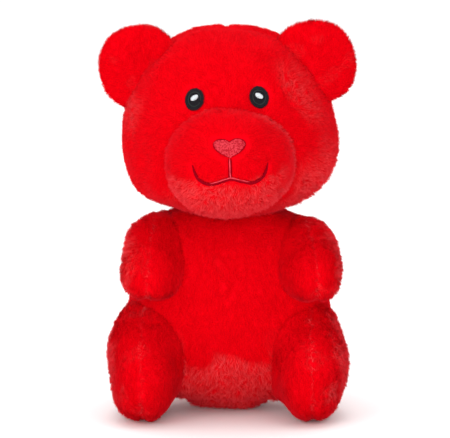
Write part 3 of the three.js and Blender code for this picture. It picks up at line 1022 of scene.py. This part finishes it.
def build_torso():
    skin = Skin(torso_form, FORM_DETAIL, 101, torso_seams, torso_features, flat_base=FLAT_BASE)
    belly_middle = torso_form.world(np.array([0, -1, 0.1]) * TORSO["front"] * MM)

    # how far the pile stands up, which also sets where its tips get painted sheen
    def ruffle_and_sheen(points):
        local = torso_form.local(points)
        patches = smoothstep(0.35, 1.5, waves(points, 30 * MM, 141))
        low = smoothstep(-12 * MM, -48 * MM, local[:, 2] + 7 * MM * waves(points, 20 * MM, 143))
        return np.clip(0.12 + 0.8 * low + 0.2 * patches, 0, 1)

    def comb(points):
        return down(points) + 0.35 * unit(points - belly_middle)

    def hidden(points):
        return deep_inside(points, [head_form], NECK_HIDDEN) | deep_inside(points, limb_forms, 2 * HIDDEN_DEPTH)

    def below_head(points):
        return head_form.outside(points) + NECK_OVERLAP

    def above_base(points):
        return points[:, 2] - base_seam

    def front(points):
        return side_seam - points[:, 1]

    def left(points):
        return points[:, 0] - back_seam

    behind = [below_head, above_base, flipped(front)]
    panels = {
        "belly": ("belly_panel", [below_head, above_base, front]),
        "back_left": ("back_panel_left", [*behind, left]),
        "back_right": ("back_panel_right", [*behind, flipped(left)]),
        "base": ("base_panel", [flipped(above_base)]),
    }
    for number, (name, (node, fields)) in enumerate(panels.items()):
        piece = plush_panel(f"torso_{name}_plush", node, skin.panel(*fields), comb, ruffle_and_sheen,
                            seam_shortening(torso_seams), hidden, 1000 + number)
        if name == "base":
            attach(piece, "torso")
        else:
            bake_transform(piece)


# ------------ head

head_side_seam = head_coordinates(np.array([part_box("head_back_left")[0]]))[0][1]


def head_seams(points):
    local = head_coordinates(points)
    around = np.abs(local[:, 1] - head_side_seam)
    behind = np.where(local[:, 1] > head_side_seam, np.abs(local[:, 0]), 1.0)
    return np.minimum(around, behind)


def head_features(points):
    """Cheeks, a bridge above the muzzle, a crease round it, a smaller jaw, and cloth drawn in at each stitch."""
    local = head_coordinates(points) - np.array(head_middle)
    sides = np.abs(local[:, 0])
    in_front = local[:, 1] < 0
    from_muzzle = muzzle_form.outside(points)
    cheek = hump((sides - 44 * MM) / (20 * MM), (local[:, 2] + 16 * MM) / (20 * MM))
    stitched = hump(face_stitch_distance(points) / (3.2 * MM))
    crease = 0.6 * MM + 1.6 * MM * smoothstep(0, -22 * MM, local[:, 2])
    ring = crease * hump(from_muzzle / (4 * MM))
    bridge = hump(from_muzzle / (9 * MM)) * smoothstep(-20 * MM, 10 * MM, local[:, 2])
    jaw = 3.5 * MM * smoothstep(-24 * MM, -44 * MM, local[:, 2])
    return in_front * (1.4 * MM * cheek + 1.6 * MM * bridge - STITCH_DEPTH * stitched - ring) - jaw


def muzzle_features(points):
    """Puffs on either side of the middle line, a chin, and cloth drawn in at each stitch and along the edge."""
    local = muzzle_form.local(points)
    puff = hump((np.abs(local[:, 0]) - 14 * MM) / (12 * MM), (local[:, 2] + 1 * MM) / (13 * MM))
    chin = hump(local[:, 0] / (22 * MM), (local[:, 2] + 20 * MM) / (12 * MM))
    stitched = hump(face_stitch_distance(points) / (2.0 * MM))
    ring = hump(head_form.outside(points) / (3 * MM))
    return 1.2 * MM * puff + 1.5 * MM * chin - STITCH_DEPTH * stitched - 0.4 * MM * ring


def build_head():
    skin = Skin(head_form, FORM_DETAIL, 201, head_seams, head_features)
    muzzle_skin = Skin(muzzle_form, FORM_DETAIL, 301, lambda points: np.ones(len(points)), muzzle_features,
                       lumps=0.5 * MM)
    nose_place = head_point(nose_tip[0], muzzle_middle[1] - MUZZLE["front"] * MM, nose_tip[1])

    def ruffle_and_sheen(points):
        """Brushed up on both temples, on the left cheek and along the jaw, where the tips of the pile also get painted
        sheen.
        """
        local = head_coordinates(points) - np.array(head_middle)
        side, depth, up = local.T
        patches = smoothstep(0.4, 1.5, waves(points, 26 * MM, 241))
        low = smoothstep(-14 * MM, -38 * MM, up + 5 * MM * waves(points, 24 * MM, 243))
        left_cheek = smoothstep(30 * MM, 52 * MM, side) * smoothstep(10 * MM, -22 * MM, up)
        left_cheek *= smoothstep(16 * MM, -14 * MM, depth)
        left_temple = hump((side + 0.9 * up - 75 * MM) / (12 * MM), (side - 46 * MM) / (18 * MM))
        right_temple = hump((side + 61 * MM) / (7 * MM), (up - 24 * MM) / (18 * MM))
        brushed = 0.3 * low + 0.6 * left_cheek + 0.6 * left_temple + 0.6 * right_temple
        return np.clip(0.10 + brushed + 0.16 * patches, 0, 1)

    # how far the pile stands up, which also sets where its tips get painted sheen
    def muzzle_ruffle_and_sheen(points):
        local = muzzle_form.local(points)
        patches = smoothstep(0.2, 1.4, waves(points, 17 * MM, 341))
        low = smoothstep(2 * MM, -18 * MM, local[:, 2] + 3.5 * MM * waves(points, 22 * MM, 343))
        left_edge = smoothstep(10 * MM, 34 * MM, local[:, 0])
        edge = smoothstep(14 * MM, 3 * MM, head_form.outside(points)) * (0.3 + 0.7 * left_edge)
        return np.clip(0.08 + 0.8 * low + 0.7 * edge + 0.2 * patches, 0, 1)

    def comb(points):
        return unit(points - nose_place) + 0.35 * down(points)

    def shorten(points):
        near_stitches = smoothstep(0.2 * MM, 3 * MM, face_stitch_distance(points))
        near_seams = 0.75 + 0.25 * smoothstep(0, SHORT_PILE_WIDTH, head_seams(points))
        return near_stitches * near_seams

    def muzzle_shorten(points):
        return smoothstep(0.7 * MM, 3.4 * MM, face_stitch_distance(points))

    def hidden(points):
        return (deep_inside(points, [torso_form], NECK_HIDDEN)
                | deep_inside(points, [muzzle_form, *ear_forms.values()]))

    def muzzle_hidden(points):
        return deep_inside(points, [head_form], 2 * HIDDEN_DEPTH)

    def clear_of_torso(points):
        return torso_form.outside(points) + NECK_OVERLAP

    def front(points):
        return head_side_seam - head_coordinates(points)[:, 1]

    def left(points):
        return head_coordinates(points)[:, 0]

    def around_muzzle(points):
        return np.where(head_coordinates(points)[:, 1] < 0, muzzle_form.outside(points) + 6 * MM, 1.0)

    def proud_of_face(points):
        return head_form.outside(points) + 8 * MM

    behind = [clear_of_torso, flipped(front)]
    pile = (ruffle_and_sheen, shorten, hidden)
    muzzle_pile = (muzzle_ruffle_and_sheen, muzzle_shorten, muzzle_hidden)
    panels = {
        "face_plush": (skin, "face_panel", [clear_of_torso, front, around_muzzle], pile),
        "head_back_left_plush": (skin, "head_back_left", [*behind, left], pile),
        "head_back_right_plush": (skin, "head_back_right", [*behind, flipped(left)], pile),
        "muzzle_plush": (muzzle_skin, "muzzle_panel", [proud_of_face], muzzle_pile),
    }
    for number, (name, (source, node, fields, (stand, trim, under))) in enumerate(panels.items()):
        piece = plush_panel(name, node, source.panel(*fields), comb, stand, trim, under, 2000 + number)
        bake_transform(piece)

    draw = np.random.default_rng(77)
    for side in SIDES:
        embroider_eye(side, skin, draw)
    embroider_nose(muzzle_skin, draw)
    embroider_mouth(muzzle_skin)


# ------------ ears

LIMB_DETAIL = 5
EAR_DISH = 3.5 * MM
EAR_DISH_WIDTH = 14 * MM
EAR_OVERLAP = 6 * MM


def build_halves(name, surround, overlap, skin, halves, seams, comb, ruffle_and_sheen, seed):
    """The two panels of an ear or a limb, sewn to the form they stand on and running a little way into it."""

    def hidden(points):
        return deep_inside(points, [surround])

    def clear(points):
        return surround.outside(points) + overlap

    for number, (half, field) in enumerate(halves.items()):
        piece = plush_panel(f"{name}_{half}_plush", f"{name}_{half}", skin.panel(clear, field), comb, ruffle_and_sheen,
                            seam_shortening(seams), hidden, seed + number)
        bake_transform(piece)


def ear_form_of(side):
    """The ear's disc, found from the outermost and topmost points of its nodes."""
    low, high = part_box(f"ear_{side}_front")
    reach = EAR["side"] * MM
    outer = high.x - reach if side == "left" else low.x + reach
    return Form((outer, high.y, high.z - reach), HEAD_AXES, EAR, -CLOTH_INSET)


ear_forms = {side: ear_form_of(side) for side in SIDES}


def build_ear(side):
    form = ear_forms[side]
    root = joint_place(f"ear_{side}_fold")

    def seams(points):
        return np.abs(form.local(points)[:, 1])

    def dish(points):
        """The front of the ear is lightly hollow, under a round rim."""
        local = form.local(points)
        radius = np.linalg.norm(local[:, [0, 2]], axis=1)
        return -EAR_DISH * (local[:, 1] < 0) * hump(radius / EAR_DISH_WIDTH)

    # how far the pile stands up, which also sets where its tips get painted sheen
    def ruffle_and_sheen(points):
        return 0.14 + 0.25 * smoothstep(0.2, 1.4, waves(points, 16 * MM, 441 + SIDES[side]))

    def comb(points):
        return unit(points - root)

    def behind(points):
        return form.local(points)[:, 1]

    skin = Skin(form, LIMB_DETAIL, 401 + SIDES[side], seams, dish, lumps=0.5 * MM)
    build_halves(f"ear_{side}", head_form, EAR_OVERLAP, skin, {"front": flipped(behind), "back": behind}, seams, comb,
                 ruffle_and_sheen, 3000 + 10 * SIDES[side])


# ------------ arms and legs


def build_limb(kind, side, form, notch_place, seed):
    """An arm or a leg: an inner and an outer panel, with a seam down its middle that ends in a small notch."""
    name = f"{kind}_{side}"
    root = joint_place(f"{name}_swing")

    def seams(points):
        return np.abs(form.local(points)[:, 0])

    def notch(points):
        local = form.local(points)
        tip = np.array([0, form.low[1] * notch_place[0], -form.low[2] * notch_place[1]])
        dimple = 2.4 * MM * hump(local[:, 0] / (2.6 * MM), np.linalg.norm(local - tip, axis=1) / (16 * MM))
        return rise_towards(torso_form, points) - dimple

    # how far the pile stands up, which also sets where its tips get painted sheen, most on the outer side
    def ruffle_and_sheen(points):
        local = form.local(points)
        patches = smoothstep(0.1, 1.3, waves(points, 20 * MM, seed + 41))
        unevenly = 0.12 * waves(points, 18 * MM, seed + 43)
        outer = smoothstep(0.45, 1.0, SIDES[side] * local[:, 0] / form.high[0] + unevenly)
        inner = smoothstep(0.1, 0.8, -SIDES[side] * local[:, 0] / form.high[0])
        along_seam = hump(seams(points) / (1.0 * MM))
        return np.clip(0.10 + 0.65 * outer + 0.3 * patches * (1 - inner) + 0.4 * along_seam, 0, 1)

    def comb(points):
        return unit(points - root) + 0.4 * down(points)

    def outwards(points):
        return SIDES[side] * form.local(points)[:, 0]

    skin = Skin(form, LIMB_DETAIL, seed, seams, notch, lumps=0.7 * MM, flat_base=FLAT_BASE,
                seam_depth=LIMB_SEAM_DEPTH)
    build_halves(name, torso_form, OVERLAP, skin, {"inner": flipped(outwards), "outer": outwards}, seams, comb, ruffle_and_sheen,
                 10 * seed)


# ------------ filling, pellets and label

FILLING_DETAIL = 4
FILLING_LUMP_LENGTH = 15 * MM
FILLING_INSET = 10 * MM
EAR_FILLING_INSET = 6.5 * MM
NECK_FILLING_INSET = 6 * MM
BAG_TOP = 40 * MM
BAG_INSET = 7  # in mm, as the forms' half sizes are
HEAD_FILLING_ROOM = 7.5 * MM
LIMB_FILLING_ROOM = dict(ear=2 * MM, arm=9 * MM, leg=13 * MM)


def lumpy_piece(name, form, seed, node, body, material, slot, fields=(), fill=0.7, lumps=1.2 * MM):
    """Filling or a filled bag: a soft, uneven form. Where fields cut it, it is a shell."""
    directions, triangles = sphere(FILLING_DETAIL)
    points = form.world(form.surface(directions))
    normals = vertex_normals(points, triangles)
    points = points + normals * (lumps * (waves(points, FILLING_LUMP_LENGTH, seed) - 1.6))[:, None]
    vertices = np.concatenate([points, vertex_normals(points, triangles)], 1)
    for field in fields:
        vertices, triangles = clip(vertices, triangles, field(vertices[:, :3]))
    points, normals = vertices[:, :3], unit(vertices[:, 3:])
    if fields:
        points, triangles = thicken(points, normals, triangles, CLOTH_THICKNESS)
    piece = new_mesh(name, points, triangles, [material])
    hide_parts(node)
    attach(piece, body)


def fibre(name, form, seed, body, **shape):
    lumpy_piece(f"{name}_filling", form, seed, f"{name}_stuffing", body, filling_material, "fibre_filling", **shape)


def inner_form(form, inset=FILLING_INSET):
    """A form that fills another one's cloth from within."""
    inner = copy.copy(form)
    inner.low, inner.high = form.low - inset, form.high - inset
    return inner


def build_filling():
    def clear_of(form, room):
        return lambda points: form.outside(points) - room

    off_neck = clear_of(neck_form, 1 * MM)
    fibre("torso", inner_form(torso_form), 500, "torso", fields=[lambda p: p[:, 2] - BAG_TOP, off_neck])
    fibre("head", inner_form(head_form), 501, "head", fields=[off_neck, clear_of(torso_form, HEAD_FILLING_ROOM)])
    fibre("neck", inner_form(neck_form, NECK_FILLING_INSET), 510, "neck")
    for side in SIDES:
        for kind, forms in (("ear", ear_forms), ("arm", arm_forms), ("leg", leg_forms)):
            surround, inset = (head_form, EAR_FILLING_INSET) if kind == "ear" else (torso_form, FILLING_INSET)
            name = f"{kind}_{side}"
            fibre(name, inner_form(forms[side], inset), 520, name, lumps=0.6 * MM,
                  fields=[clear_of(surround, LIMB_FILLING_ROOM[kind])])
    low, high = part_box("pellet_bag")
    middle, half = (low + high) / 2, (high - low) / 2 / MM
    side, depth, tall = half.x - BAG_INSET, half.y - BAG_INSET, half.z - BAG_INSET / 2
    bag = Form(middle, LEVEL_AXES, dict(side=side, front=depth, back=depth, up=tall, down=tall, square=2.4))
    lumpy_piece("pellet_bag_cloth", bag, 530, "pellet_bag", "torso", bag_material, "pellets", fill=0.5,
                lumps=0.6 * MM)


RIBBON_THICKNESS = 0.25 * MM
RIBBON_GAP = 0.35 * MM
RIBBON_ROOT = 3 * MM
RIBBON_BEND = 0.6 * MM


def build_label():
    """A blank ribbon loop sewn into the back seam, low down, folded over at its free end."""
    low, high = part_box("sewn_in_label")
    start, middle = low.y - RIBBON_ROOT, (low.x + high.x) / 2
    share = np.linspace(0, 1, 12)
    out = np.stack([np.full(12, RIBBON_GAP), start + (high.y - low.y + RIBBON_ROOT) * share], 1)
    out[:, 0] *= 1 - share**6
    loop = np.concatenate([out, out[::-1][1:] * np.array([-1, 1])])
    heights = np.linspace(low.z, high.z, 9)
    bend = RIBBON_BEND * np.sin((heights - low.z) / (high.z - low.z) * np.pi)
    grid = np.array([[(middle + x + lean, y, z) for x, y in loop] for z, lean in zip(heights, bend)])
    rows, columns = grid.shape[:2]
    index = np.arange(rows * columns).reshape(rows, columns)
    a, b, c, d = (part.ravel() for part in (index[:-1, :-1], index[:-1, 1:], index[1:, 1:], index[1:, :-1]))
    triangles = np.concatenate([np.stack([a, b, c], 1), np.stack([a, c, d], 1)])
    points = grid.reshape(-1, 3)
    points, triangles = thicken(points, vertex_normals(points, triangles), triangles, RIBBON_THICKNESS)
    piece = new_mesh("label_ribbon", points, triangles, [ribbon_material])
    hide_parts("sewn_in_label")
    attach(piece, "torso")


neck_form = Form(neck_place, HEAD_AXES,
                 {**dict.fromkeys(("side", "front", "back", "up", "down"), NECK_RADIUS), "square": 2.0})

build_torso()
build_head()
for side in SIDES:
    build_ear(side)
    build_limb("arm", side, arm_forms[side], ARM_NOTCH, 600 + SIDES[side])
    build_limb("leg", side, leg_forms[side], LEG_NOTCH, 700 + SIDES[side])
build_filling()
build_label()

# ------------ floor, light and camera

FLOOR_REACH = 60.0
STUDIO_BRIGHTNESS = 1.08
LIGHT_TARGET = (0, 0, 0.12)
LIGHTS = {  # each is a place, a size and a power
    "key": ((-1.5, -1.8, 1.0), 1.2, 12),
    "front": ((-0.1, -2.7, 0.2), 1.4, 42),
    "top": ((0.0, 0.2, 2.3), 1.6, 17),
}
CAMERA_ELEVATION = math.radians(9)
CAMERA_DISTANCE = 3.0
CAMERA_AIM_HEIGHT = 126.4 * MM
CAMERA_AIM_SIDE = -1.3 * MM
VIEW_WIDTH = 291.6 * MM
SENSOR_WIDTH = 36.0


def build_floor():
    bpy.ops.mesh.primitive_plane_add(size=2 * FLOOR_REACH)
    floor = bpy.context.object
    floor.name = "floor"
    look = Look("pale_floor")
    colour = look.mix(look.noise(4.0), (0.92, 0.92, 0.925), (0.94, 0.94, 0.94))
    floor.data.materials.append(look.finish(colour, 0.7, Specular_IOR_Level=0.2))


def add_area_light(name, place, size, power):
    light = bpy.data.lights.new(name, "AREA")
    light.shape = "DISK"
    light.size = size
    light.energy = power
    lamp = bpy.data.objects.new(name, light)
    lamp.location = place
    aim = Vector(LIGHT_TARGET) - Vector(place)
    lamp.rotation_euler = aim.to_track_quat("-Z", "Y").to_euler()
    bpy.context.scene.collection.objects.link(lamp)


def build_lights():
    world = bpy.data.worlds.new("studio")
    world.use_nodes = True
    background = world.node_tree.nodes["Background"]
    background.inputs["Color"].default_value = (1.0, 1.0, 1.0, 1)
    background.inputs["Strength"].default_value = STUDIO_BRIGHTNESS
    bpy.context.scene.world = world
    for name, (place, size, power) in LIGHTS.items():
        add_area_light(name, place, size, power)
    bpy.context.scene.view_settings.view_transform = "Standard"


def build_camera():
    data = bpy.data.cameras.new("camera")
    data.sensor_width = SENSOR_WIDTH
    data.lens = SENSOR_WIDTH * CAMERA_DISTANCE / VIEW_WIDTH
    data.clip_end = 200.0
    camera = bpy.data.objects.new("camera", data)
    back = Vector((0, -math.cos(CAMERA_ELEVATION), math.sin(CAMERA_ELEVATION)))
    camera.location = Vector((CAMERA_AIM_SIDE, 0, CAMERA_AIM_HEIGHT)) + back * CAMERA_DISTANCE
    camera.rotation_euler = (-back).to_track_quat("-Z", "Y").to_euler()
    bpy.context.scene.collection.objects.link(camera)
    bpy.context.scene.camera = camera


build_floor()
build_lights()
build_camera()
